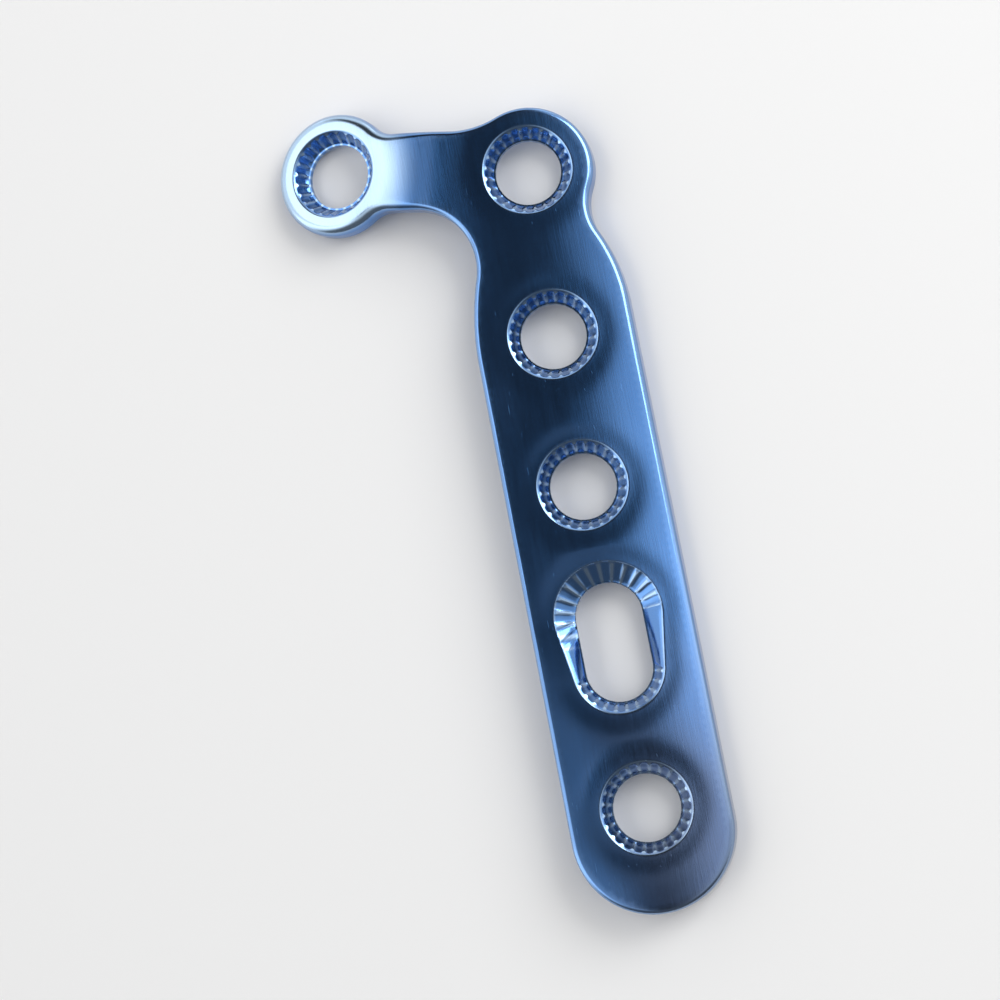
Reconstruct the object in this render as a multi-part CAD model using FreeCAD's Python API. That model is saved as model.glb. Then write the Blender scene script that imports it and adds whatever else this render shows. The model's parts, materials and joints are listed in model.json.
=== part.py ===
import FreeCAD, Part
import math
import os
from FreeCAD import Vector

# L-shaped bone plate, cut in one piece from a contoured titanium sheet.
# A straight shaft ends in a round lobe, and from the lobe an arm runs out to
# a ring that is bent down towards the bone. Every round hole has a scalloped
# conical seat for the head of an angled locking screw, and the slot has a
# keyhole-shaped seat of the same kind, which lets the plate slide before it
# is tightened.
#
# While it is drawn, the top of the arm is the plane z = 0, the shaft lies
# along Y with its head end at +Y, and the first shaft hole is on x = 0, y = 0.
# At the end the plate is laid down on the three places it would rest on.
# All sizes are in millimetres, all angles in degrees.

# Sheet
thickness = 2.5
crown_radius = 60.0          # the shaft is curved across its width, like a shallow gutter
crown_start = 6.0            # left of the first shaft hole the sheet is flat from here on

# Shaft
shaft_width = 17.5
tail_reach = 11.3            # from the last hole to the end of the plate
hole_pitch = 17.0            # from the first hole to the second
slot_pitch = 17.3            # from the second hole to the middle of the slot
last_pitch = 18.1            # from the middle of the slot to the last hole

# Head: lobe, waist under the lobe, arm and ring
lobe_x = 0.8
lobe_y = 18.7
lobe_radius = 7.1
waist_inset = 2.25           # how far the right edge comes in under the lobe
waist_radius = 6.0
shoulder_radius = 20.0       # from the straight right edge into the waist
inner_inset = 1.9            # how far the left edge comes in under the arm
inner_radius = 7.4           # the corner between shaft and arm
swell_radius = 30.0          # from the straight left edge into that corner
arm_rise = 13.3              # how far the arm points up from square to the shaft
neck_width = 8.8
upper_radius = 9.6           # the hollow between lobe and arm
ring_radius = 7.0
ring_shoulder_radius = 3.5   # the hollows between arm and ring
ring_neck = 0.7              # straight length between the bend and those hollows

# Bend between arm and ring
ring_bend = 10.0
bend_radius = 12.0           # on the bone side

# Edges
edge_bevel = 0.5             # upper edge
edge_break = 0.25            # lower edge

# Round screw seats: a bevelled rim, a scalloped cone and a plain bore under it
mouth_radius = 5.0
bevel_depth = 0.35
seat_radius = 4.55           # of the cone under the bevel
seat_end_radius = 3.85       # of the cone at its lower end
land_radius = 3.65           # of the plain bore
land_height = 0.8
scallops = 24                # round one full seat
scallop_depth = 0.14
ridge_width = 0.22           # left between two scallops
floor_share = 0.75           # of a scallop's width that its flat floor takes
ridge_relief = 0.03          # how far the ridges stand back from the plain cone

# Slot: the same kind of seat, wider towards the head
slot_travel = 5.7            # between the centres of its two ends
slot_head_mouth = 5.9
slot_head_radius = 5.4
slot_tail_mouth = 5.0
slot_tail_radius = 4.5
slot_end_radius = 3.85
slot_land_radius = 3.65

# Working values
margin = 3.0                 # how far cutting bodies run past the sheet
mesh_tolerance = 0.02        # for finding the points the plate rests on
sharp_edge = 0.85            # cosine of the angle between two faces that meet sharply
level_face = 0.9             # upward share of the normal of a top face


def at_angle(centre, radius, degrees, z=0.0):
    """A point on a circle that lies flat, at an angle counted from +X."""
    turn = math.radians(degrees)
    return Vector(centre.x + radius * math.cos(turn), centre.y + radius * math.sin(turn), z)


def touch(centre, radius, other, other_radius):
    """The point where two circles touch each other from outside."""
    return centre + (other - centre) * (radius / (radius + other_radius))


def leg(long_side, short_side):
    """The third side of a right-angled triangle."""
    return math.sqrt(long_side ** 2 - short_side ** 2)


def line(start, end):
    return Part.LineSegment(start, end).toShape()


def arc(centre, start, end, turn):
    """The arc from start to end, left-handed for turn 1 and right-handed for turn -1."""
    first = math.atan2(start.y - centre.y, start.x - centre.x)
    last = math.atan2(end.y - centre.y, end.x - centre.x)
    sweep = (turn * (last - first)) % (2 * math.pi)
    middle = at_angle(centre, (start - centre).Length, math.degrees(first + turn * sweep / 2))
    return Part.Arc(start, middle, end).toShape()


# Directions and places in the plan of the flat plate
half_shaft = shaft_width / 2
half_neck = neck_width / 2
slot_y = -hole_pitch - slot_pitch
last_y = slot_y - last_pitch
tail_centre = Vector(0, last_y - tail_reach + half_shaft, 0)
lobe = Vector(lobe_x, lobe_y, 0)
along_arm = Vector(-math.cos(math.radians(arm_rise)), math.sin(math.radians(arm_rise)), 0)
across_arm = Vector(math.sin(math.radians(arm_rise)), math.cos(math.radians(arm_rise)), 0)


def on_arm(along, across):
    """A place in the plan, counted from the lobe along and across the arm."""
    return lobe + along_arm * along + across_arm * across


def inner_corner():
    """Centre of the corner arc, which touches the arm's lower edge and the narrowed shaft."""
    across = half_neck + inner_radius
    edge = half_shaft - inner_inset
    along = (lobe_x - across * across_arm.x + edge + inner_radius) / -along_arm.x
    return along, on_arm(along, -across)


corner_along, corner = inner_corner()
hollow_along = leg(lobe_radius + upper_radius, half_neck + upper_radius)
bend_start = max(corner_along, hollow_along)


def head_and_shaft_outline():
    """Outline of everything but the ring, from the start of the bend and back to it."""
    swell_x = swell_radius - half_shaft
    swell = Vector(swell_x, corner.y - leg(swell_radius + inner_radius, swell_x - corner.x), 0)
    waist_x = half_shaft - waist_inset + waist_radius
    waist = Vector(waist_x, lobe_y - leg(lobe_radius + waist_radius, waist_x - lobe_x), 0)
    shoulder_x = half_shaft - shoulder_radius
    shoulder_drop = leg(shoulder_radius + waist_radius, waist_x - shoulder_x)
    shoulder = Vector(shoulder_x, waist.y - shoulder_drop, 0)
    hollow = on_arm(hollow_along, half_neck + upper_radius)

    lower_neck = on_arm(bend_start, -half_neck)
    corner_end = on_arm(corner_along, -half_neck)
    corner_foot = touch(corner, inner_radius, swell, swell_radius)
    left_top = Vector(-half_shaft, swell.y, 0)
    left_foot = Vector(-half_shaft, tail_centre.y, 0)
    right_foot = Vector(half_shaft, tail_centre.y, 0)
    right_top = Vector(half_shaft, shoulder.y, 0)
    waist_foot = touch(shoulder, shoulder_radius, waist, waist_radius)
    lobe_right = touch(lobe, lobe_radius, waist, waist_radius)
    lobe_left = touch(lobe, lobe_radius, hollow, upper_radius)
    hollow_end = on_arm(hollow_along, half_neck)
    upper_neck = on_arm(bend_start, half_neck)

    edges = [
        line(upper_neck, lower_neck),
        arc(corner, corner_end, corner_foot, -1),
        arc(swell, corner_foot, left_top, 1),
        line(left_top, left_foot),
        arc(tail_centre, left_foot, right_foot, 1),
        line(right_foot, right_top),
        arc(shoulder, right_top, waist_foot, 1),
        arc(waist, waist_foot, lobe_right, -1),
        arc(lobe, lobe_right, lobe_left, 1),
        arc(hollow, lobe_left, hollow_end, -1),
    ]
    if (lower_neck - corner_end).Length > edge_break:
        edges.insert(1, line(lower_neck, corner_end))
    if (upper_neck - hollow_end).Length > edge_break:
        edges.append(line(hollow_end, upper_neck))
    return Part.Wire(edges)


ring_shoulder_reach = leg(ring_radius + ring_shoulder_radius, half_neck + ring_shoulder_radius)
ring_along = bend_start + ring_neck + ring_shoulder_reach
ring_centre = on_arm(ring_along, 0)


def ring_outline():
    """Outline of the ring and its short neck, as it lies before the sheet is bent."""
    hollow_at = bend_start + ring_neck
    reach = half_neck + ring_shoulder_radius
    above = on_arm(hollow_at, reach)
    below = on_arm(hollow_at, -reach)
    ring_above = touch(ring_centre, ring_radius, above, ring_shoulder_radius)
    ring_below = touch(ring_centre, ring_radius, below, ring_shoulder_radius)
    return Part.Wire([
        line(on_arm(bend_start, half_neck), on_arm(hollow_at, half_neck)),
        arc(above, on_arm(hollow_at, half_neck), ring_above, -1),
        arc(ring_centre, ring_above, ring_below, 1),
        arc(below, ring_below, on_arm(hollow_at, -half_neck), -1),
        line(on_arm(hollow_at, -half_neck), on_arm(bend_start, -half_neck)),
        line(on_arm(bend_start, -half_neck), on_arm(bend_start, half_neck)),
    ])


# The sheet: its top follows the arm's plane and then the crown
crown_axis = Vector(-crown_start, 0, -crown_radius)


def sheet_profile(y):
    """Section of the sheet across the shaft, flat at the left and curved at the right."""
    left = on_arm(bend_start, half_neck).x - margin
    reach = math.asin((half_shaft + margin + crown_start) / crown_radius)
    inside = crown_radius - thickness

    def curved(radius, angle):
        return crown_axis + Vector(radius * math.sin(angle), y, radius * math.cos(angle))

    top = Part.Arc(curved(crown_radius, 0), curved(crown_radius, reach / 2), curved(crown_radius, reach))
    under = Part.Arc(curved(inside, reach), curved(inside, reach / 2), curved(inside, 0))
    return Part.Wire([
        line(Vector(left, y, 0), curved(crown_radius, 0)),
        top.toShape(),
        line(curved(crown_radius, reach), curved(inside, reach)),
        under.toShape(),
        line(curved(inside, 0), Vector(left, y, -thickness)),
        line(Vector(left, y, -thickness), Vector(left, y, 0)),
    ])


def curved_sheet():
    start = tail_centre.y - half_shaft - margin
    end = lobe_y + lobe_radius + bend_start + margin
    return Part.Face(sheet_profile(start)).extrude(Vector(0, end - start, 0))


bend_foot = on_arm(bend_start, 0) + Vector(0, 0, -thickness - bend_radius)


def bent_blank():
    """The plate without its holes: curved sheet, bend and ring, cut square to the arm."""
    outline = Part.Face(head_and_shaft_outline())
    depth = crown_radius / 2
    outline.translate(Vector(0, 0, -depth))
    body = curved_sheet().common(outline.extrude(Vector(0, 0, depth + margin)))

    down = Vector(0, 0, -thickness)
    lower, upper = on_arm(bend_start, -half_neck), on_arm(bend_start, half_neck)
    section = Part.Face(Part.makePolygon([lower, upper, upper + down, lower + down, lower]))
    bend = section.revolve(bend_foot, across_arm, -ring_bend)

    ring = Part.Face(ring_outline()).extrude(down)
    ring.rotate(bend_foot, across_arm, -ring_bend)
    return body.fuse([bend, ring]).removeSplitter()


def rims(shape, side):
    """Sharp edges of the top (side 1) or of the underside (side -1)."""
    found = []
    for edge in shape.Edges:
        middle = edge.valueAt((edge.FirstParameter + edge.LastParameter) / 2)
        normals = []
        for face in shape.ancestorsOfType(edge, Part.Face):
            u, v = face.Surface.parameter(middle)
            normals.append(face.normalAt(u, v))
        if len(normals) < 2 or normals[0].dot(normals[1]) > sharp_edge:
            continue
        if max(side * normal.z for normal in normals) > level_face:
            found.append(edge)
    return found


def seat(name, centre, axis):
    """Where a screw seat stands: its name, its mouth on the top and the way out of it."""
    turn = FreeCAD.Rotation(Vector(0, 0, 1), axis)
    return name, FreeCAD.Placement(centre, turn)


def on_crown(x, y):
    """A place on top of the curved sheet, and the way straight out of it."""
    angle = math.asin((x + crown_start) / crown_radius)
    out = Vector(math.sin(angle), 0, math.cos(angle))
    return crown_axis + out * crown_radius + Vector(0, y, 0), out


def round_seats():
    seats = [
        seat("lobe", *on_crown(lobe_x, lobe_y)),
        seat("first", *on_crown(0, 0)),
        seat("second", *on_crown(0, -hole_pitch)),
        seat("last", *on_crown(0, last_y)),
    ]
    tilt = FreeCAD.Rotation(across_arm, -ring_bend)
    mouth = bend_foot + tilt.multVec(ring_centre - bend_foot)
    seats.append(seat("ring", mouth, tilt.multVec(Vector(0, 0, 1))))
    return seats


seat_depth = thickness - land_height


def plain_bore():
    """A seat without scallops and the bore under it, round the Z axis, mouth at z = 0."""
    flare = edge_break + margin
    half = [
        (0, margin), (mouth_radius, margin), (mouth_radius, 0),
        (seat_radius, -bevel_depth), (seat_end_radius, -seat_depth), (land_radius, -seat_depth),
        (land_radius, edge_break - thickness), (land_radius + flare, -thickness - margin),
        (0, -thickness - margin), (0, margin),
    ]
    profile = Part.Face(Part.makePolygon([Vector(radius, 0, height) for radius, height in half]))
    return profile.revolve(Vector(), Vector(0, 0, 1), 360)


def scalloped_corners(radius, first, last):
    """Corners of a row of scallops round the origin, each one a ridge and a flat-floored groove.

    Every distance is a share of the radius, so that two rows at two heights have
    parallel sides and the walls between them are flat.
    """
    step = 360.0 / scallops
    ridge = math.degrees(ridge_width / 2 / seat_radius)
    deep = radius * (1 + scallop_depth / seat_radius)
    corners = []
    for number in range(round((last - first) / step)):
        angle = first + number * step
        floor = (step - 2 * ridge) * floor_share / 2
        corners += [
            at_angle(Vector(), radius, angle + ridge),
            at_angle(Vector(), deep, angle + step / 2 - floor),
            at_angle(Vector(), deep, angle + step / 2 + floor),
            at_angle(Vector(), radius, angle + step - ridge),
        ]
    return corners


def flat_sided(lower, upper):
    """A solid between two outlines with as many corners each."""
    walls = [Part.Face(Part.makePolygon(list(reversed(lower)) + [lower[-1]])),
             Part.Face(Part.makePolygon(upper + [upper[0]]))]
    for low_a, low_b, up_a, up_b in zip(lower, lower[1:] + lower[:1], upper, upper[1:] + upper[:1]):
        walls.append(Part.Face(Part.makePolygon([low_a, low_b, up_b, up_a, low_a])))
    return Part.Solid(Part.Shell(walls))


def scallop_cutter(radius, end_radius, first=0.0, last=360.0):
    """The scallops of a seat, or of a part turn of it, as one cutting body."""
    flare = (radius - end_radius) / (seat_depth - bevel_depth)
    outlines = []
    for height in (-seat_depth, margin):
        ridge_radius = end_radius + flare * (height + seat_depth) + ridge_relief
        corners = scalloped_corners(ridge_radius, first, last)
        if last - first < 360:
            corners.append(Vector())
        outlines.append([corner + Vector(0, 0, height) for corner in corners])
    return flat_sided(*outlines)


slot_head = Vector(0, slot_travel / 2, 0)
slot_tail = Vector(0, -slot_travel / 2, 0)


def keyhole(head_radius, tail_radius, height):
    """Outline of the slot at one height: two arcs and the straight lines that touch both."""
    lean = math.degrees(math.asin((head_radius - tail_radius) / slot_travel))
    head_right = at_angle(slot_head, head_radius, -lean)
    head_left = at_angle(slot_head, head_radius, 180 + lean)
    tail_left = at_angle(slot_tail, tail_radius, 180 + lean)
    tail_right = at_angle(slot_tail, tail_radius, -lean)
    wire = Part.Wire([
        arc(slot_head, head_right, head_left, 1),
        line(head_left, tail_left),
        arc(slot_tail, tail_left, tail_right, 1),
        line(tail_right, head_right),
    ])
    wire.translate(Vector(0, 0, height))
    return wire


def plain_slot():
    """The slot's seat without scallops and the plain slot under it."""
    flare = slot_land_radius + edge_break + margin
    seat_walls = Part.makeLoft([
        keyhole(slot_head_mouth, slot_tail_mouth, margin),
        keyhole(slot_head_mouth, slot_tail_mouth, 0),
        keyhole(slot_head_radius, slot_tail_radius, -bevel_depth),
        keyhole(slot_end_radius, slot_end_radius, -seat_depth),
    ], True, True)
    land_walls = Part.makeLoft([
        keyhole(slot_land_radius, slot_land_radius, -bevel_depth),
        keyhole(slot_land_radius, slot_land_radius, edge_break - thickness),
        keyhole(flare, flare, -thickness - margin),
    ], True, True)
    return seat_walls.fuse(land_walls)


def slot_scallops():
    """The scallops round the slot's two ends."""
    head = scallop_cutter(slot_head_radius, slot_end_radius, 0, 180)
    tail = scallop_cutter(slot_tail_radius, slot_end_radius, 180, 360)
    head.translate(slot_head)
    tail.translate(slot_tail)
    return [head, tail]


def placed(body, placement):
    """A copy of a body drawn round the Z axis, moved to a seat."""
    copy = body.copy()
    copy.Placement = placement.multiply(copy.Placement)
    return copy


def bone_plate():
    """The finished plate, still in the frame it is drawn in."""
    plate = bent_blank()
    plate = plate.makeChamfer(edge_bevel, rims(plate, 1))
    plate = plate.makeChamfer(edge_break, rims(plate, -1))

    seats = [place for _, place in round_seats()]
    slot_place = seat("slot", *on_crown(0, slot_y))[1]
    holes = [placed(plain_bore(), place) for place in seats] + [placed(plain_slot(), slot_place)]
    scalloped = scallop_cutter(seat_radius, seat_end_radius)
    grooves = [placed(scalloped, place) for place in seats]
    grooves += [placed(half, slot_place) for half in slot_scallops()]
    return plate.cut(holes).cut(grooves)


def resting_roll(points):
    """The roll about Y that brings the ring's underside and the shaft's right edge level."""
    left = [p for p in points if p.x < -half_shaft]
    right = [p for p in points if p.x > 0]

    def ring_above_shaft(degrees):
        sine, cosine = math.sin(math.radians(degrees)), math.cos(math.radians(degrees))
        return (min(p.z * cosine - p.x * sine for p in left)
                - min(p.z * cosine - p.x * sine for p in right))

    low, high = -45.0, 45.0
    for _ in range(40):
        middle = (low + high) / 2
        if ring_above_shaft(middle) > 0:
            high = middle
        else:
            low = middle
    return middle


def laid_down(plate):
    """The plate on a table at z = 0, centred over the origin."""
    roll = resting_roll(plate.tessellate(mesh_tolerance)[0])
    plate = plate.copy()
    plate.rotate(Vector(0, 0, 0), Vector(0, 1, 0), roll)
    points = plate.tessellate(mesh_tolerance)[0]
    xs, ys, zs = [p.x for p in points], [p.y for p in points], [p.z for p in points]
    shift = Vector(-(min(xs) + max(xs)) / 2, -(min(ys) + max(ys)) / 2, -min(zs))
    plate.translate(shift)
    return plate, roll, shift


def main():
    os.makedirs("parts", exist_ok=True)
    plate, roll, shift = laid_down(bone_plate())
    plate.exportStep("parts/bone_plate.step")

    print("valid", plate.isValid(), "solids", len(plate.Solids), "faces", len(plate.Faces))
    print("volume mm3", round(plate.Volume, 1), "roll", round(roll, 3))
    box = plate.BoundBox
    print("box", [round(v, 2) for v in (box.XMin, box.YMin, box.ZMin, box.XMax, box.YMax, box.ZMax)])
    lay = FreeCAD.Rotation(Vector(0, 1, 0), roll)
    for name, place in round_seats() + [seat("slot", *on_crown(0, slot_y))]:
        mouth = lay.multVec(place.Base) + shift
        out = lay.multVec(place.Rotation.multVec(Vector(0, 0, 1)))
        print(name, "mouth", [round(v, 3) for v in mouth], "axis", [round(v, 5) for v in out])


main()
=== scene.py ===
# %% [markdown]
# # An anodised bone plate
#
# The part is one piece of titanium, about 95 mm long: a straight shaft, a round
# lobe, and an arm that ends in a ring bent down towards the bone. Its look comes
# less from its colour than from its edges. Every outer edge is rolled over, every
# hole has a soft rim, and polished metal shows such bends as bright lines.
#
# The CAD solid has plain bevels there, to keep its faces few. This script makes
# the same plate again as dense curved surfaces, with the same driving sizes, and
# lays it exactly where the CAD node lies.

# %% The fixed frame
import json
import math

import bmesh
import bpy
import numpy as np
from mathutils import Matrix, Vector
from mathutils.geometry import delaunay_2d_cdt


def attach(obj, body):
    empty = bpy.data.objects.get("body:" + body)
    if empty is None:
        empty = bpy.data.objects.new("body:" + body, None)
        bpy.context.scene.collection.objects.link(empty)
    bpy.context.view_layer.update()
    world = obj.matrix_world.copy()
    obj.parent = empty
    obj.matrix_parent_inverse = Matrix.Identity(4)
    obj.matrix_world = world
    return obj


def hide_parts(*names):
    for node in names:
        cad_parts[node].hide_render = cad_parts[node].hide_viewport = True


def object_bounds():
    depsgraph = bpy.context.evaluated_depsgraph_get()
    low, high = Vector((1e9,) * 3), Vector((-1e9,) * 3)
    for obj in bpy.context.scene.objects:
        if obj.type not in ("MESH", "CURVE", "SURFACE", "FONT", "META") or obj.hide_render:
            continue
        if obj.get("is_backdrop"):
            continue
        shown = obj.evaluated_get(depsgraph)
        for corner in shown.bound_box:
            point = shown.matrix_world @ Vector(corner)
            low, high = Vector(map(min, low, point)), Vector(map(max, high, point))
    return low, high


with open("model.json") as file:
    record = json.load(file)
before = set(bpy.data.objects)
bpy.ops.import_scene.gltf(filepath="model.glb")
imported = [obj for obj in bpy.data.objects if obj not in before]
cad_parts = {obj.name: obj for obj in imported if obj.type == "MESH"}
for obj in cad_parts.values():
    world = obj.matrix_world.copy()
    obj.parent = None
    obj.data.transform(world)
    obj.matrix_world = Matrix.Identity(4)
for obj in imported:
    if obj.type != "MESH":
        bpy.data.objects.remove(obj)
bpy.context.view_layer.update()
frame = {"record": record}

scene = bpy.context.scene
scene.view_settings.view_transform = "Standard"

# %% [markdown]
# ## Driving sizes
#
# These are the sizes that a drawing of the plate would give, in millimetres and
# degrees. While the plate is worked out, the top of the arm is the plane z = 0,
# the shaft lies along Y and the first shaft hole is at x = 0, y = 0. Only the
# last step lays it down on the table and turns it into metres. The three steps
# at the end are the spacing of the mesh: along the outline, on the top, where
# reflections show every facet, and on the underside.

# %% Sizes
thickness = 2.5
crown_radius, crown_start = 60.0, 6.0
shaft_width, tail_reach = 17.5, 11.3
hole_pitch, slot_pitch, last_pitch = 17.0, 17.3, 18.1
lobe_x, lobe_y, lobe_radius = 0.8, 18.7, 7.1
waist_inset, waist_radius, shoulder_radius = 2.25, 6.0, 20.0
inner_inset, inner_radius, swell_radius = 1.9, 7.4, 30.0
arm_rise, neck_width, upper_radius = 13.3, 8.8, 9.6
ring_radius, ring_shoulder_radius, ring_neck = 7.0, 3.5, 0.7
ring_bend, bend_radius = math.radians(10.0), 12.0
edge_round, ring_edge_round, edge_break = 0.6, 1.15, 0.25
seat_depth, bevel_depth, seat_end, land_radius = 1.7, 0.35, 3.85, 3.65
mouth_radius, seat_radius = 5.0, 4.55
scallops, scallop_depth, ridge_width, floor_share, ridge_relief = 24, 0.12, 0.16, 0.42, 0.02
slot_travel, slot_mouths, slot_radii = 5.7, (5.9, 5.0), (5.4, 4.5)
corner_round = 0.08    # how far the soft corners of a seat's bevel reach
scallop_fade = 0.35    # the depth over which the scallops fade out at the cone's foot
follow_depth = 0.8     # how deep a hole's rim and its lower edge follow the crown
side_scallops = 2      # how many scallops run on down the slot's left side
side_start = 0.6       # where in the row that side begins, as a share of one scallop
outline_step, top_step, under_step = 0.33, 0.5, 0.9

half_shaft, half_neck = shaft_width / 2, neck_width / 2
slot_y = -hole_pitch - slot_pitch
last_y = slot_y - last_pitch

# %% [markdown]
# ## The outline
#
# A plate like this is drawn as arcs and straight lines that touch each other.
# One could trace a spline through picked points, but then no two hollows would
# have a true radius. Here every centre follows from the sizes: two circles that
# touch have their centres as far apart as their radii together, so the third
# side of a right-angled triangle gives the place.

# %% Arcs, lines and the way along the arm
along_arm = np.array([-math.cos(math.radians(arm_rise)), math.sin(math.radians(arm_rise))])
across_arm = np.array([math.sin(math.radians(arm_rise)), math.cos(math.radians(arm_rise))])
lobe = np.array([lobe_x, lobe_y])


def leg(long_side, short_side):
    """The third side of a right-angled triangle."""
    return math.sqrt(long_side ** 2 - short_side ** 2)


def on_arm(along, across):
    """A place in the plan, counted from the lobe along and across the arm."""
    return lobe + along * along_arm + across * across_arm


def touch(centre, radius, other, other_radius):
    """The point where two circles touch from outside."""
    return centre + (other - centre) * radius / (radius + other_radius)


def straight(start, end, count=400):
    """Points on a line: the start plus a growing share of the way to the end."""
    share = np.linspace(0, 1, count, endpoint=False)[:, None]
    return start + share * (end - start)


def arc(centre, start, end, turn, count=400):
    """Points on a circle: the centre plus the radius times (cosine, sine) of an even angle.

    It turns anticlockwise where turn is 1 and clockwise where it is -1.
    """
    first = math.atan2(start[1] - centre[1], start[0] - centre[0])
    last = math.atan2(end[1] - centre[1], end[0] - centre[0])
    sweep = (turn * (last - first)) % (2 * math.pi)
    angle = first + turn * np.linspace(0, sweep, count, endpoint=False)
    radius = np.linalg.norm(start - centre)
    return centre + radius * np.stack([np.cos(angle), np.sin(angle)], axis=1)


# %% Centres of the arcs
corner_across = half_neck + inner_radius
corner_x = -half_shaft + inner_inset - inner_radius
corner_along = (lobe_x - corner_across * across_arm[0] - corner_x) / -along_arm[0]
corner = on_arm(corner_along, -corner_across)
hollow_along = leg(lobe_radius + upper_radius, half_neck + upper_radius)
hollow = on_arm(hollow_along, half_neck + upper_radius)
bend_start = max(corner_along, hollow_along)
bend_length = (bend_radius + thickness) * ring_bend

swell_x = swell_radius - half_shaft
swell = np.array([swell_x, corner[1] - leg(swell_radius + inner_radius, swell_x - corner[0])])
waist_x = half_shaft - waist_inset + waist_radius
waist = np.array([waist_x, lobe_y - leg(lobe_radius + waist_radius, waist_x - lobe_x)])
shoulder_x = half_shaft - shoulder_radius
shoulder_leg = leg(shoulder_radius + waist_radius, waist_x - shoulder_x)
shoulder = np.array([shoulder_x, waist[1] - shoulder_leg])
tail = np.array([0.0, last_y - tail_reach + half_shaft])

# The ring lies further out by the length of the bend, as it does before the sheet is bent
neck_end = bend_start + bend_length + ring_neck
ring_reach = half_neck + ring_shoulder_radius
ring = on_arm(neck_end + leg(ring_radius + ring_shoulder_radius, ring_reach), 0)
above, below = on_arm(neck_end, ring_reach), on_arm(neck_end, -ring_reach)
print("centres: corner", corner.round(2), "hollow", hollow.round(2), "waist", waist.round(2))

# %% The closed outline, evenly spaced
corner_end = on_arm(corner_along, -half_neck)
corner_foot = touch(corner, inner_radius, swell, swell_radius)
left_top, left_foot = np.array([-half_shaft, swell[1]]), np.array([-half_shaft, tail[1]])
right_foot, right_top = np.array([half_shaft, tail[1]]), np.array([half_shaft, shoulder[1]])
waist_foot = touch(shoulder, shoulder_radius, waist, waist_radius)
lobe_right = touch(lobe, lobe_radius, waist, waist_radius)
lobe_left = touch(lobe, lobe_radius, hollow, upper_radius)
hollow_end = on_arm(hollow_along, half_neck)
ring_above = touch(ring, ring_radius, above, ring_shoulder_radius)
ring_below = touch(ring, ring_radius, below, ring_shoulder_radius)
fine_outline = np.concatenate([
    arc(corner, corner_end, corner_foot, -1), arc(swell, corner_foot, left_top, 1),
    straight(left_top, left_foot), arc(tail, left_foot, right_foot, 1),
    straight(right_foot, right_top), arc(shoulder, right_top, waist_foot, 1),
    arc(waist, waist_foot, lobe_right, -1), arc(lobe, lobe_right, lobe_left, 1),
    arc(hollow, lobe_left, hollow_end, -1), straight(hollow_end, on_arm(neck_end, half_neck)),
    arc(above, on_arm(neck_end, half_neck), ring_above, -1), arc(ring, ring_above, ring_below, 1),
    arc(below, ring_below, on_arm(neck_end, -half_neck), -1),
    straight(on_arm(neck_end, -half_neck), corner_end),
])


def evenly(points, spacing):
    """The same closed line with even steps, read off against the length walked so far."""
    closed = np.vstack([points, points[:1]])
    walked = np.concatenate([[0], np.cumsum(np.linalg.norm(np.diff(closed, axis=0), axis=1))])
    steps = np.linspace(0, walked[-1], round(walked[-1] / spacing), endpoint=False)
    return np.stack([np.interp(steps, walked, closed[:, axis]) for axis in (0, 1)], axis=1)


outline = evenly(fine_outline, outline_step)
forward = np.roll(outline, -1, axis=0) - np.roll(outline, 1, axis=0)
forward /= np.linalg.norm(forward, axis=1)[:, None]
outward = np.stack([forward[:, 1], -forward[:, 0]], axis=1)
print("outline:", len(outline), "points, from", outline.min(0).round(2),
      "to", outline.max(0).round(2))

# %% [markdown]
# ## From the flat sheet to the bent one
#
# The real blank is milled with a crown across the shaft and the arm is bent near
# the ring. It is easiest to think of the plate as a flat sheet and to have one
# function that lifts any of its points into space: a place in the plan and a
# depth under the top go in, a point in space comes out. Everything that is made
# in the plan then follows the crown and the bend by itself.

# %% Lift


def lift(plan, depth):
    """A place in the flat sheet, set in space.

    Right of the crown's start the top is a circle of the crown's radius and the
    underside one smaller by the thickness; a depth is a share of the upright way
    between them. Past the start of the bend, the point turns about the bend's
    centre by an angle that grows with its way along the arm, up to the full bend.
    """
    x, y = plan[:, 0], plan[:, 1]
    over = np.clip(x + crown_start, 0, None)
    top = np.sqrt(crown_radius ** 2 - over ** 2) - crown_radius
    under = np.sqrt((crown_radius - thickness) ** 2 - over ** 2) - crown_radius
    shaft = np.stack([x, y, top + (under - top) * depth / thickness], axis=1)

    along, across = (plan - lobe) @ along_arm, (plan - lobe) @ across_arm
    bent = np.clip(along - bend_start, 0, bend_length)
    angle = ring_bend * bent / bend_length
    out, up = along - bend_start - bent, bend_radius + thickness - depth
    reach = bend_start + out * np.cos(angle) + up * np.sin(angle)
    height = up * np.cos(angle) - out * np.sin(angle) - bend_radius - thickness
    flat = lobe + reach[:, None] * along_arm + across[:, None] * across_arm
    arm = np.column_stack([flat, height])
    return np.where((along > bend_start)[:, None], arm, shaft)


# %% [markdown]
# ## Rolled edge, side wall and lower edge
#
# This is a profile carried along the outline: a quarter circle for the rolled
# upper edge, the wall, and the small bevel that breaks the lower edge. A bevel
# modifier could do it, but the roll has to grow wider where the arm runs into
# the ring. In a grid that is easy: each row is one step of the profile, each
# column one point of the outline, and the roll's radius is a number per column.

# %% Edge strip


def grid_faces(rows, columns):
    """Quads between neighbouring rows, closed round the columns."""
    here = np.arange(rows * columns).reshape(rows, columns)
    beside = np.roll(here, -1, axis=1)
    quads = np.stack([here[:-1], here[1:], beside[1:], beside[:-1]], axis=-1)
    return quads.reshape(-1, 4)


def smooth(value, low, high):
    """0 below low, 1 above high, and 3 t squared minus 2 t cubed between them."""
    t = np.clip((value - low) / (high - low), 0, 1)
    return t * t * (3 - 2 * t)


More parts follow.
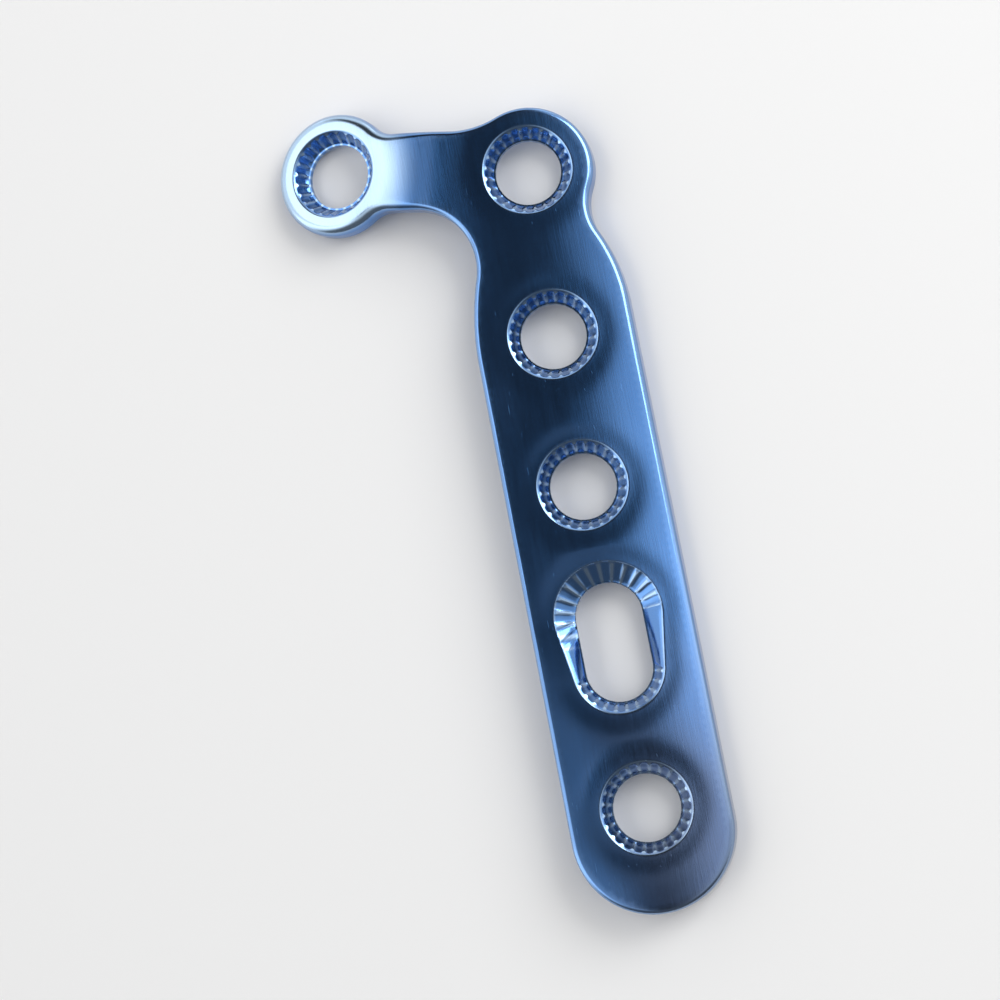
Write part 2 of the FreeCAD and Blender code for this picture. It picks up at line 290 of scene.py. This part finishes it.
# 0 on the shaft and the arm, 1 on the ring
ring_share = smooth((outline - lobe) @ along_arm, bend_start - 2, neck_end + 1)
rolled = edge_round + (ring_edge_round - edge_round) * ring_share
roll_rows = 11
roll = np.radians(np.linspace(0, 90, roll_rows))[:, None]
flush = np.zeros((1, len(outline)))
strip_inset = np.concatenate([rolled * (1 - np.sin(roll)), flush, flush + edge_break])
strip_depth = np.concatenate([rolled * (1 - np.cos(roll)),
                              flush + thickness - edge_break, flush + thickness])
strip_plan = outline[None] - strip_inset[..., None] * outward[None]
edge_points = lift(strip_plan.reshape(-1, 2), strip_depth.reshape(-1))
edge_faces = grid_faces(*strip_depth.shape)
print("edge strip:", len(edge_faces), "quads")

# %% [markdown]
# ## Screw seats
#
# A seat is a bevel, a cone, a narrow ledge and a plain bore under it. Round the
# cone run two dozen shallow scallops with narrow ridges between them, which the
# screw's head cuts into when it locks. Cutting them one by one with booleans
# would leave hard, uneven edges. As one grid they are a formula: the radius of
# the wall, by its angle and its depth.
#
# A round seat and the slot's seat are one and the same surface: two arcs, a head
# and a tail, joined by the straight lines that touch both. In a round seat the
# two arcs share one centre. The slot's head is wider than its tail, and its
# scallops go on a little way down its left side.

# %% One seat as a grid
step = 360 / scallops
ridge = math.degrees(ridge_width / 2 / seat_radius)
flank = (step - 2 * ridge) * (1 - floor_share) / 2


def scallop(degrees):
    """How deep the scallop is at an angle: 0 on a ridge, 1 on its floor, smooth between."""
    from_ridge = step / 2 - np.abs((degrees % step) - step / 2)
    return smooth(from_ridge, ridge, ridge + flank)


# Columns of one scallop, close together where its flanks are
half_scallop = np.array([0, ridge / 2, ridge, ridge + 0.25 * flank, ridge + 0.5 * flank,
                         ridge + 0.75 * flank, ridge + flank, (ridge + flank + step / 2) / 2])
one_scallop = np.concatenate([half_scallop, [step / 2], step - half_scallop[:0:-1]])


# Columns on the slot's plain sides: beside its head, beside its tail, and between them
few_columns, near_columns, side_columns = 6, 12, 48


def scallop_row(first, count):
    """Angles of a row of scallops from a first angle on, in degrees."""
    return (first + step * np.arange(count)[:, None] + one_scallop).ravel()


def seat_columns(travel, head_radius):
    """Four numbers for every column of a seat's grid.

    They are its place between head (0) and tail (1), its angle, how much of the
    lean of the straight sides is added to that angle, and how far on it is in
    the row of scallops, in degrees. That last one is a multiple of a step on a
    ridge, and where there are no scallops.
    """
    if travel == 0:
        angle = scallop_row(0, scallops)
        return 0 * angle, angle, 0 * angle, angle
    half = scallops // 2
    head_turn, tail_turn = scallop_row(0, half), scallop_row(180 + step, half - 2)
    few, near = np.arange(few_columns) / few_columns, np.arange(near_columns) / near_columns
    side = np.arange(1, side_columns) / side_columns
    lean_there = side_start * step
    down_left = lean_there + np.degrees(side * travel / head_radius)
    parts = [
        (0 * head_turn, head_turn, 0 * head_turn, head_turn),
        (0 * few, 180 + 0 * few, few, lean_there * few),
        (side, 180 + 0 * side, 1 + 0 * side,
         np.where(down_left < side_scallops * step, down_left, 0)),
        (1 + 0 * near, 180 + step * near, 1 - near, step * near),
        (1 + 0 * tail_turn, tail_turn, 0 * tail_turn, tail_turn),
        (1 + 0 * near, 360 - step + step * near, -near, step * near),
        (1 - side, 360 + 0 * side, -1 + 0 * side, 0 * side),
        (0 * few[1:], 360 + 0 * few[1:], few[1:] - 1, 0 * few[1:]),
    ]
    return tuple(np.concatenate(column) for column in zip(*parts))


def soft_corner(before, corner, after):
    """A curve of second degree: the shares are (1 - t) squared, 2 t (1 - t) and t squared.

    Each point is a depth, a head radius and a tail radius.
    """
    t = np.linspace(0, 1, 5)[:, None]
    return (1 - t) ** 2 * before + 2 * t * (1 - t) * corner + t ** 2 * after


# Where the rows lie on the bevel and on the cone, as shares of the way down each
bevel_shares = np.array([0.45, 0.6, 0.72])[:, None]
cone_shares = np.array([0.3, 0.5, 0.7, 0.8, 0.9, 1.0])[:, None]


def seat_profile(mouths, radii):
    """Depth, head radius and tail radius of a seat, row by row from its mouth down."""
    mouth = np.array([0, *mouths])
    cone_top = np.array([bevel_depth, *radii])
    cone_end = np.array([seat_depth, seat_end, seat_end])
    bevel_way = (cone_top - mouth) * corner_round / bevel_depth
    cone_way = (cone_end - cone_top) * corner_round / (seat_depth - bevel_depth) * 2
    wider = np.array([0, corner_round, corner_round])
    bevel = mouth + bevel_shares * (cone_top - mouth)
    cone = cone_top + cone_shares * (cone_end - cone_top)
    foot = land_radius + edge_break
    return np.concatenate([
        [mouth + 3 * wider], soft_corner(mouth + wider, mouth, mouth + bevel_way), bevel,
        soft_corner(cone_top - bevel_way / 2, cone_top, cone_top + cone_way), cone,
        [[seat_depth, land_radius, land_radius],
         [thickness - edge_break, land_radius, land_radius], [thickness, foot, foot]],
    ])


def seat_grid(mouths, radii, travel):
    """Points of one seat round its own Z axis, mouth at z = 0, as rows from the rim down.

    The wall is as wide as the bevel and the cone say, or as the scallop cuts it,
    whichever is wider, but the cut stops at the mouth. A scallop's floor is a
    fixed share further out than its ridge, so it is parallel to the cone.
    """
    side, angle, lean_share, row_angle = seat_columns(travel, radii[0])
    profile = seat_profile(mouths, radii)
    depth, head, tail = profile[:, :1], profile[:, 1:2], profile[:, 2:]
    lean = np.degrees(np.arcsin((head - tail) / travel)) if travel else 0.0
    turn = angle + lean * lean_share
    plain = head + (tail - head) * side
    mouth = mouths[0] + (mouths[1] - mouths[0]) * side
    slope = (radii[0] + (radii[1] - radii[0]) * side - seat_end) / (seat_depth - bevel_depth)
    ridge_line = seat_end + ridge_relief + slope * (seat_depth - depth)
    fade = smooth(seat_depth - depth, 0, scallop_fade)
    share = scallop_depth / seat_radius * scallop(row_angle) * fade
    cut = np.minimum(ridge_line * (1 + share), mouth)
    radius = np.where(share > 0, np.maximum(plain, cut), plain)
    x = radius * np.cos(np.radians(turn))
    y = travel / 2 * (1 - 2 * side) + radius * np.sin(np.radians(turn))
    return np.stack([x, y, np.broadcast_to(-depth, x.shape)], axis=-1)


# %% Where the seats stand


def crown_place(x, y):
    """Mouth and axes of a seat that stands square on the crown."""
    angle = math.asin((x + crown_start) / crown_radius)
    out = np.array([math.sin(angle), 0, math.cos(angle)])
    mouth = np.array([-crown_start, y, -crown_radius]) + crown_radius * out
    right = np.array([math.cos(angle), 0, -math.sin(angle)])
    return mouth, np.stack([right, [0, 1, 0], out])


def ring_place():
    """Mouth and axes of the ring's seat: the plan's own axes, turned with the bend."""
    probe = np.array([ring, ring + along_arm, ring + across_arm])
    mouth, far, side = lift(probe, np.zeros(3))
    e_along, e_across = far - mouth, side - mouth
    axes = [component[0] * e_along + component[1] * e_across
            for component in ((along_arm[0], across_arm[0]), (along_arm[1], across_arm[1]))]
    print("ring centre in the flat sheet", ring.round(2), "in space", mouth.round(2))
    return mouth, np.stack([axes[0], axes[1], np.cross(axes[0], axes[1])])


def settle(grid, crowned):
    """Lets the rim and the lower edge follow the crown, and keeps the cone between them true."""
    if crowned:
        x, depth = grid[..., 0], -grid[..., 2]
        inner = crown_radius - thickness
        top = np.sqrt(crown_radius ** 2 - x ** 2) - crown_radius
        under = np.sqrt(inner ** 2 - x ** 2) - inner
        near_top = np.clip(1 - depth / follow_depth, 0, 1)
        near_foot = np.clip((depth - (thickness - follow_depth)) / follow_depth, 0, 1)
        grid[..., 2] += top * near_top + under * near_foot
    return grid


round_seat = ((mouth_radius,) * 2, (seat_radius,) * 2, 0)
seats = {
    "lobe": (crown_place(lobe_x, lobe_y), round_seat),
    "first": (crown_place(0, 0), round_seat),
    "second": (crown_place(0, -hole_pitch), round_seat),
    "slot": (crown_place(0, slot_y), (slot_mouths, slot_radii, slot_travel)),
    "last": (crown_place(0, last_y), round_seat),
    "ring": (ring_place(), round_seat),
}
seat_points, seat_faces, mouth_loops, under_loops = [], [], [], []
for name, ((mouth, axes), shape) in seats.items():
    grid = settle(seat_grid(*shape), name != "ring")
    space = mouth + grid @ axes
    seat_points.append(space.reshape(-1, 3))
    seat_faces.append(grid_faces(*grid.shape[:2])[:, ::-1])
    for loops, row in ((mouth_loops, 0), (under_loops, -1)):
        loops.append(ring + grid[row, :, :2] if name == "ring" else space[row, :, :2])
print("seats:", ", ".join(seats))

# %% [markdown]
# ## Top and underside
#
# What is left is the face between the outline and the holes. A grid can't have
# holes where they aren't wanted, so this is the one place for a triangulation:
# the loops that are already there are handed over as fixed edges, an even lattice
# fills the inside, and lift sets the result in space. The loops' points are the
# same as the first rows of the grids, so all of it closes into one skin. The
# lattice keeps off the loops, because a sliver beside one would show as a dot.

# %% Faces with holes


def inside(points, loop):
    """Which points lie in a closed loop: an odd number of its edges passes to their right."""
    a, b = loop, np.roll(loop, -1, axis=0)
    x, y = points[:, :1], points[:, 1:]
    spans = (a[:, 1] > y) != (b[:, 1] > y)
    crossing = a[:, 0] + (y - a[:, 1]) / np.where(spans, b[:, 1] - a[:, 1], 1) * (b[:, 0] - a[:, 0])
    return (spans & (x < crossing)).sum(axis=1) % 2 == 1


def nearest_square(points, others, batches=60):
    """For each point, the square of its distance to the nearest of the others."""
    return np.concatenate([((batch[:, None] - others[None]) ** 2).sum(axis=2).min(axis=1)
                           for batch in np.array_split(points, batches)])


def holed_face(outer, holes, depth, spacing, clearance=0.65):
    """Points in space and triangles of the sheet's face at a depth, between its loops."""
    low, high = outer.min(0), outer.max(0)
    columns, rows = np.arange(low[0], high[0], spacing), np.arange(low[1], high[1], spacing)
    xs, ys = np.meshgrid(columns, rows)
    xs = xs + spacing / 2 * (np.arange(xs.shape[0]) % 2)[:, None]
    lattice = np.stack([xs.ravel(), ys.ravel()], axis=1)
    edge = np.concatenate([outer] + holes)
    in_hole = np.any([inside(lattice, hole) for hole in holes], axis=0)
    clear = nearest_square(lattice, edge) > (clearance * spacing) ** 2
    keep = clear & inside(lattice, outer) & ~in_hole
    points = np.concatenate([edge, lattice[keep]])
    edges, start = [], 0
    for loop in [outer] + holes:
        number = np.arange(start, start + len(loop))
        edges += np.stack([number, np.roll(number, -1)], axis=1).tolist()
        start += len(loop)
    vectors = [Vector(point) for point in points.tolist()]
    made, _, faces, _, _, _ = delaunay_2d_cdt(vectors, edges, [], 1, 1e-9)
    plan = np.array([tuple(point) for point in made])
    faces = np.array(faces)
    middle = plan[faces].mean(axis=1)
    in_hole = np.any([inside(middle, hole) for hole in holes], axis=0)
    return lift(plan, np.full(len(plan), depth)), faces[inside(middle, outer) & ~in_hole]


top_points, top_faces = holed_face(strip_plan[0], mouth_loops, 0.0, top_step)
under_points, under_faces = holed_face(strip_plan[-1], under_loops, thickness, under_step)
print("top and underside:", len(top_faces), "and", len(under_faces), "triangles")

# %% [markdown]
# ## Polish, wear and painted highlights
#
# A milled plate is mirror flat, and a real one isn't: hand polishing rounds what
# stands out. The top dips a little towards each mouth, the bend of the arm is
# eased, and the whole is faintly wavy. These dips are a tenth of a millimetre,
# but a mirror doubles every slope, so they bend the reflections as a photograph
# of the plate shows them. Ridges, rims and edges are painted paler, partly as wear
# of the oxide film and partly as a painted highlight where they catch the light,
# and the top of the ring is painted paler as a painted highlight of the lamp it
# mirrors. A texture painted by hand would do for that; here both follow from how
# far a point is from the mouths and the outline.

# %% Polish
dish_depth, dish_reach = 0.12, 1.6              # towards each mouth
ease_depth, ease_reach = 0.12, 2.6              # over the arm's bend
wave_depth, wave_along, wave_across = 0.04, 27, 31
phase_along, phase_across = 0.9, 0.4
polish_starts, polish_ends = 0.1, 1.3           # the depths between which it fades out


def beside_seats(points):
    """For each seat, three numbers for every point of the sheet.

    They are its distance from the mouth's edge, how far on it is in the row of
    scallops, in degrees, and whether scallops run there. The seat's centre, seen
    from a point, is the nearest place on the line from the tail's centre to the
    head's.
    """
    for (mouth, axes), (mouths, radii, travel) in seats.values():
        local = (points - mouth) @ axes.T
        along = np.clip(local[:, 1], -travel / 2, travel / 2)
        x, y = local[:, 0], local[:, 1] - along
        edge = sum(mouths) / 2 + (mouths[0] - mouths[1]) * along / max(travel, 1)
        turn = np.degrees(np.arctan2(y, x)) % 360
        tail_row = (turn > 180 + step / 2) & (turn < 360 - step / 2)
        fluted = (travel == 0) | (turn <= 180) | tail_row
        on_side = (travel > 0) & (y == 0)
        down = np.degrees((travel / 2 - local[:, 1]) / radii[0])
        turn = np.where(on_side, down, turn)
        fluted = np.where(on_side, (x < 0) & (down < side_scallops * step), fluted)
        yield np.hypot(x, y) - edge, turn, fluted


def polished(points):
    """The same points with the top lowered as hand polishing leaves it.

    The dish fades with the square of the distance from a mouth's edge, the ease
    with the square of the distance from the bend's middle, the waves are sines a
    few centimetres long, and all of it ends a little way down the walls.
    """
    x, y = points[:, 0], points[:, 1]
    over = np.clip(x + crown_start, 0, None)
    depth = np.sqrt(crown_radius ** 2 - over ** 2) - crown_radius - points[:, 2]
    dish = np.max([np.exp(-(np.clip(away, 0, None) / dish_reach) ** 2)
                   for away, _, _ in beside_seats(points)], axis=0)
    from_bend = (points[:, :2] - lobe) @ along_arm - bend_start - bend_length / 2
    ease = np.exp(-(from_bend / ease_reach) ** 2)
    waves = (np.sin(2 * np.pi * y / wave_along + phase_along)
             * np.cos(2 * np.pi * x / wave_across + phase_across))
    lowered = dish_depth * dish + ease_depth * ease + wave_depth * waves + wave_depth
    points = points.copy()
    points[:, 2] -= lowered * (1 - smooth(depth, polish_starts, polish_ends))
    return points


# %% Wear of the film and painted highlights
# How pale each place is painted: wear and painted highlights on edges, ridges and rims, and only a
# painted highlight on the ring's top
edge_wear_and_highlight, edge_highlight_reach = 0.35, 0.45
ring_highlight, seat_paleness, ridge_wear_and_highlight = 0.75, 0.03, 0.52
rim_share, rim_reach = 0.8, 0.12                # a rim's wear against a ridge's
ring_pale, ring_blue = 6.0, 11.0                # from the ring's axis: pale up to, blue from
wall_blue, wall_pale = -1.0, -0.2               # the heights between which its wall turns pale
seat_begins, ridges_begin = (-0.05, 0.15), (0.1, 0.3)    # ranges of the way from a mouth's edge


def wear_and_painted_highlight(points):
    """How much paler the film is painted, from 0 to 1, at every point of the sheet, for wear and
    painted highlights.
    """
    # Edges are painted paler, partly as wear and partly as a painted highlight along the rolled
    # edges
    edge = lift(outline, np.zeros(len(outline)))
    on_edge = edge_wear_and_highlight * np.exp(-nearest_square(points, edge) / edge_highlight_reach ** 2)
    # The ring's top is painted paler as a painted highlight of the ring lamp that the bent ring
    # mirrors, from just outside its mouth, fading out between 6 and 11 mm from its axis and down
    # its wall
    mouth, axes = seats["ring"][0]
    local = (points - mouth) @ axes.T
    from_ring = np.hypot(local[:, 0], local[:, 1])
    past_mouth = smooth(from_ring, mouth_radius - 0.2, mouth_radius + 0.1)
    still_ring = 1 - smooth(from_ring, ring_pale, ring_blue)
    near_top = smooth(local[:, 2], wall_blue, wall_pale)
    paleness = np.maximum(on_edge, ring_highlight * past_mouth * still_ring * near_top)
    # Ridges and rims of the seats are painted paler, partly as wear and partly as painted
    # highlights where they catch the light
    for away, turn, fluted in beside_seats(points):
        inside_seat = 1 - smooth(away, *seat_begins)
        ridges = (1 - scallop(turn)) ** 2 * fluted * smooth(-away, *ridges_begin)
        rim = np.exp(-(away / rim_reach) ** 2)
        palest = np.maximum(ridges, rim_share * rim)
        paleness = np.maximum(paleness, inside_seat * (seat_paleness + ridge_wear_and_highlight * palest))
    return paleness


# %% [markdown]
# ## One closed skin, laid down
#
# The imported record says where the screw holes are. The first shaft hole gives
# both the roll that the plate has when it lies on a table, from its axis, and
# its place, from its position, so nothing has to be fitted by eye.

# %% Place in the frame
holes_in_frame = {mount["name"]: mount for mount in frame["record"]["mounts"]}
first_hole = holes_in_frame["shaft_hole_1"]
hole_axis = np.array(first_hole["axis"])
table_roll = math.atan2(hole_axis[0], hole_axis[2]) - math.asin(crown_start / crown_radius)
roll_matrix = np.array([[math.cos(table_roll), 0, math.sin(table_roll)],
                        [0, 1, 0],
                        [-math.sin(table_roll), 0, math.cos(table_roll)]])
bore_middle = seat_depth + (thickness - seat_depth) / 2
first_mouth = np.array(first_hole["pos_m"]) * 1000 + bore_middle * hole_axis
shift = first_mouth - roll_matrix @ seats["first"][0][0]
print("roll", round(math.degrees(table_roll), 3), "degrees, shift", shift.round(3), "mm")


# %% One mesh
weld_distance, sharp_from = 2e-6, math.radians(38)


def joined(patches):
    """All patches as one list of points and one of faces, with the numbers moved up to match."""
    points, faces, start = [], [], 0
    for patch_points, patch_faces in patches:
        points.append(patch_points)
        faces += (np.asarray(patch_faces) + start).tolist()
        start += len(patch_points)
    return np.concatenate(points), faces


points, faces = joined([
    (edge_points, edge_faces), (top_points, top_faces), (under_points, under_faces),
    *zip(seat_points, seat_faces),
])
points = (polished(points) @ roll_matrix.T + shift) / 1000

mesh = bpy.data.meshes.new("bone_plate_skin")
mesh.from_pydata(points.tolist(), [], faces)
skin = bmesh.new()
skin.from_mesh(mesh)
bmesh.ops.remove_doubles(skin, verts=skin.verts, dist=weld_distance)
bmesh.ops.recalc_face_normals(skin, faces=skin.faces)
open_edges = sum(1 for edge in skin.edges if not edge.is_manifold)
volume = skin.calc_volume() * 1e9
skin.to_mesh(mesh)
skin.free()

# The wear and painted highlights are worked out in the sheet's own place, so the points are turned
# back first
in_frame = np.empty(3 * len(mesh.vertices))
mesh.vertices.foreach_get("co", in_frame)
in_sheet = (in_frame.reshape(-1, 3) * 1000 - shift) @ roll_matrix
wear_and_highlight_layer = mesh.attributes.new("wear_and_painted_highlight", "FLOAT", "POINT")
wear_and_highlight_layer.data.foreach_set("value", wear_and_painted_highlight(in_sheet))
mesh.shade_smooth()
mesh.set_sharp_from_angle(angle=sharp_from)
plate = bpy.data.objects.new("bone_plate_skin", mesh)
scene.collection.objects.link(plate)
print("skin:", len(mesh.vertices), "points,", sum(len(f.vertices) - 2 for f in mesh.polygons),
      "triangles, open edges", open_edges, "volume", round(volume, 1), "mm3")
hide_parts("bone_plate")
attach(plate, "root")

# %% [markdown]
# ## Shader maths as Python
#
# Node graphs are easier to read as formulas. A small class wraps the socket that
# a node gives out and makes + - and * add Math nodes, also with a plain number
# on the left; one method makes any other node.

# %% Values and nodes


class Value:
    """A number that nodes work out. Python's operators on it add Math nodes."""

    def __init__(self, shader, socket):
        self.shader, self.socket = shader, socket

    def math(self, operation, *numbers):
        sockets = dict(enumerate(numbers))
        made = self.shader.node("ShaderNodeMath", {"operation": operation}, sockets)
        return self.shader.value(made, 0)

    def __add__(self, other):
        return self.math("ADD", self, other)

    def __sub__(self, other):
        return self.math("SUBTRACT", self, other)

    def __rsub__(self, other):
        return self.math("SUBTRACT", other, self)

    def __mul__(self, other):
        return self.math("MULTIPLY", self, other)

    __radd__, __rmul__ = __add__, __mul__


class Shader:
    """The node tree of one material or world."""

    def __init__(self, owner):
        owner.use_nodes = True
        self.tree = owner.node_tree
        self.tree.nodes.clear()

    def node(self, kind, settings=None, sockets=None):
        """A node of a type, with its settings, then the values or links of its sockets."""
        made = self.tree.nodes.new(kind)
        for key, value in (settings or {}).items():
            setattr(made, key, value)
        for key, value in (sockets or {}).items():
            if isinstance(value, Value):
                value = value.socket
            if isinstance(value, bpy.types.NodeSocket):
                self.tree.links.new(value, made.inputs[key])
            else:
                made.inputs[key].default_value = value
        return made

    def value(self, node, output):
        """What a node gives out, ready for formulas."""
        return Value(self, node.outputs[output])

    def ramp(self, value, low, high):
        """0 below low and 1 above high, with a smooth step between them."""
        made = self.node("ShaderNodeMapRange", {"interpolation_type": "SMOOTHSTEP"}, {
            0: value, 1: low, 2: high})
        return self.value(made, 0)

    def surface(self, shader, kind="ShaderNodeOutputMaterial"):
        """Ends the tree: the shader goes to the output."""
        self.node(kind, sockets={"Surface": shader.outputs[0]})


# %% [markdown]
# ## Anodised titanium
#
# The blue is not paint: a clear oxide film colours the light that the metal
# mirrors. So the base is fully metallic with a blue base colour, and the film's
# own gloss is a thin coat. The blank was ground along the shaft before it was
# anodised, so the roughness and a very shallow bump are noise that is stretched
# along Y. Larger, softer patches vary the blue as the film's thickness does. The
# right of the tail end is painted greyer, a painted reflection of a dark object
# that it mirrors. Where the film is worn it is nearly white, and the same pale
# colour is a painted highlight on edges, ridges, rims and the ring's top.

# %% Metal
metal = bpy.data.materials.new("anodised_titanium")
titanium = Shader(metal)
place = titanium.node("ShaderNodeTexCoord").outputs["Object"]


def noise_along_shaft(across_mm, along_mm, detail):
    """Noise whose spots are so wide and so long, from the place on the piece in metres."""
    scaled = titanium.node("ShaderNodeMapping", {}, {
        "Vector": place, "Scale": (1000 / across_mm, 1000 / along_mm, 1000 / across_mm)})
    made = titanium.node("ShaderNodeTexNoise", {}, {
        "Vector": scaled.outputs[0], "Scale": 1.0, "Detail": detail, "Roughness": 0.6})
    return titanium.value(made, 0)


grain = noise_along_shaft(0.10, 3.0, 3.0)
streaks = noise_along_shaft(0.6, 14.0, 2.0)
film = noise_along_shaft(9.0, 14.0, 2.0)
scratches = titanium.ramp(noise_along_shaft(0.06, 4.0, 1.0), 0.77, 0.82)
spot = titanium.node("ShaderNodeSeparateXYZ", {}, {0: place})
spot_x, spot_y = titanium.value(spot, 0), titanium.value(spot, 1)
# A painted reflection of a dark object: the grey begins near the last hole, at a place that the
# film's patches make uneven
past_last_hole = film * 0.02 - 0.035 - spot_y
painted_tail_reflection = titanium.ramp(past_last_hole, -0.012, 0.016) * titanium.ramp(spot_x, 0.003, 0.012)
# The share of wear and painted highlights, read from the mesh's attribute
wear_and_highlight_share = titanium.value(titanium.node("ShaderNodeAttribute", {"attribute_name": "wear_and_painted_highlight"}), "Fac")


def mixed(share, first, second):
    """A colour between two colours."""
    made = titanium.node("ShaderNodeMix", {"data_type": "RGBA"}, {0: share, 6: first, 7: second})
    return made.outputs[2]


thin_film, thick_film = (0.058, 0.185, 0.47, 1), (0.085, 0.235, 0.56, 1)
# The grey is a painted reflection of a dark object at the tail end; the pale blue paints both wear
# and highlights
tail_reflection_film, worn_and_highlit_film = (0.16, 0.168, 0.22, 1), (0.50, 0.66, 0.81, 1)
blue = mixed(film * 1.8 - 0.4, thin_film, thick_film)
# Painted reflection: greyer at the right of the tail end
blue = mixed(painted_tail_reflection * 0.55, blue, tail_reflection_film)
# Wear and painted highlights: nearly white on edges, ridges, rims and the ring's top
blue = mixed(wear_and_highlight_share, blue, worn_and_highlit_film)
relief = grain * 0.7 + streaks * 0.5 - scratches * 0.4
roughness = grain * 0.10 + streaks * 0.06 + scratches * 0.2 + 0.09
bump = titanium.node("ShaderNodeBump", {}, {
    "Height": relief, "Strength": 0.18, "Distance": 0.00004})
titanium.surface(titanium.node("ShaderNodeBsdfPrincipled", {}, {
    "Base Color": blue, "Metallic": 1.0, "Roughness": roughness,
    "Coat Weight": 0.5, "Coat Roughness": 0.08, "Coat IOR": 1.6, "Normal": bump.outputs[0]}))
plate.data.materials.append(metal)
print("anodised titanium:", len(titanium.tree.nodes), "nodes")

# %% [markdown]
# ## Floor and light
#
# Metal shows what surrounds it, so the room matters more than the lamps. Its
# ceiling is dim, which keeps the flat top dark and deep blue. Its sides are
# bright: the crown's right flank and the rolled edges bend the view far enough
# to find them, and run as pale bands along the shaft. Two lamps do the rest. The
# key lamp at the upper right casts the soft shadow, and the ring lamp stands
# where only the bent ring mirrors it.

# %% Floor
floor_reach = 3.0
floor_mesh = bpy.data.meshes.new("floor")
floor_mesh.from_pydata(
    [(-floor_reach, -floor_reach, 0), (floor_reach, -floor_reach, 0),
     (floor_reach, floor_reach, 0), (-floor_reach, floor_reach, 0)], [], [(0, 1, 2, 3)])
floor = bpy.data.objects.new("floor", floor_mesh)
scene.collection.objects.link(floor)
floor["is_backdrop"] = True
paper = bpy.data.materials.new("floor_paper")
floor_shader = Shader(paper)
floor_shader.surface(floor_shader.node("ShaderNodeBsdfPrincipled", {}, {
    "Base Color": (0.86, 0.86, 0.86, 1), "Roughness": 0.8}))
floor_mesh.materials.append(paper)
print("floor:", 2 * floor_reach, "m square")

# %% Soft room
world = bpy.data.worlds.new("soft_room")
scene.world = world
room = Shader(world)
coordinates = room.node("ShaderNodeTexCoord").outputs["Generated"]
toward = room.node("ShaderNodeSeparateXYZ", {}, {0: coordinates})
x, y, z = (room.value(toward, axis) for axis in range(3))

# Parts of the room, by the direction they lie in. The glow is what the crown's
# middle mirrors, the band what it mirrors between the slot and the last hole,
# and the patch what it mirrors at the left of the tail end.
right_side, left_side = room.ramp(x, 0.13, 0.42), room.ramp(0 - x, 0.28, 0.50)
not_near, far_side = room.ramp(y, -0.70, -0.20), room.ramp(y, 0.80, 0.97)
glow = room.ramp(x * 0.33 + y * 0.07 + z * 0.94, 0.970, 0.996)
band = room.ramp(y, -0.06, 0.00) * (1 - room.ramp(y, 0.03, 0.09))
tail_patch = room.ramp(0 - y, 0.00, 0.06) * room.ramp(0 - x, 0.02, 0.12)
beside_slot = right_side * room.ramp(y, 0.00, 0.05) * (1 - room.ramp(y, 0.09, 0.15))

# How bright each part is
right_light, slot_light, left_light = 0.85, 0.9, 1.15
glow_light, band_light, tail_light = 0.35, 0.2, 0.8
far_light, near_light, dim_light = 1.1, 0.12, 0.05
strength = right_side * right_light + beside_slot * slot_light + left_side * left_light
strength = strength + glow * glow_light + band * band_light + tail_patch * tail_light
strength = strength * not_near + (1 - not_near) * near_light + far_side * far_light + dim_light

# The camera itself sees a white background
seen = room.value(room.node("ShaderNodeLightPath"), "Is Camera Ray")
strength = strength * (1 - seen) + seen
room.surface(room.node("ShaderNodeBackground", {}, {
    "Color": (1, 1, 1, 1), "Strength": strength}), "ShaderNodeOutputWorld")
print("soft room:", len(room.tree.nodes), "nodes")

# %% Lamps


def softbox(name, direction, distance, size, power):
    """A rectangular lamp that faces the plate from a direction."""
    data = bpy.data.lights.new(name, "AREA")
    data.shape, data.energy = "RECTANGLE", power
    data.size, data.size_y = size
    lamp = bpy.data.objects.new(name, data)
    away = Vector(direction).normalized()
    lamp.location = away * distance
    lamp.rotation_euler = away.to_track_quat("Z", "Y").to_euler()
    scene.collection.objects.link(lamp)
    print(name, "of", power, "W at", [round(value, 2) for value in lamp.location], "m")


softbox("key_lamp", direction=(0.84, 0.50, 0.66), distance=0.60, size=(0.34, 0.38), power=1.85)
softbox("ring_lamp", direction=(-0.46, 0.335, 0.82), distance=0.65, size=(0.33, 0.30), power=0.28)

# %% [markdown]
# ## Camera
#
# It looks down steeply, a little from the right and from the near side, with the
# shaft leaning as it does in the photograph. A long lens from a quarter of a
# metre away keeps the far end nearly as large as the near one.

# %% Camera
lowest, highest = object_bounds()
middle = (lowest + highest) / 2
camera_distance = 0.260
back = Vector((37.7, -23.6, 172.0)).normalized()
image_up = Vector((0.1935, 0.981, 0.0))
camera_data = bpy.data.cameras.new("camera")
camera_data.lens, camera_data.sensor_width = 85.0, 36.0
camera_data.clip_start, camera_data.clip_end = 0.01, 20.0
camera = bpy.data.objects.new("camera", camera_data)
right = image_up.cross(back).normalized()
upright = back.cross(right)
camera.rotation_mode = "QUATERNION"
camera.rotation_quaternion = Matrix((right, upright, back)).transposed().to_quaternion()
camera.location = middle + back * camera_distance
scene.collection.objects.link(camera)
scene.camera = camera
print("camera", round(1000 * camera_distance), "mm from the plate's middle")
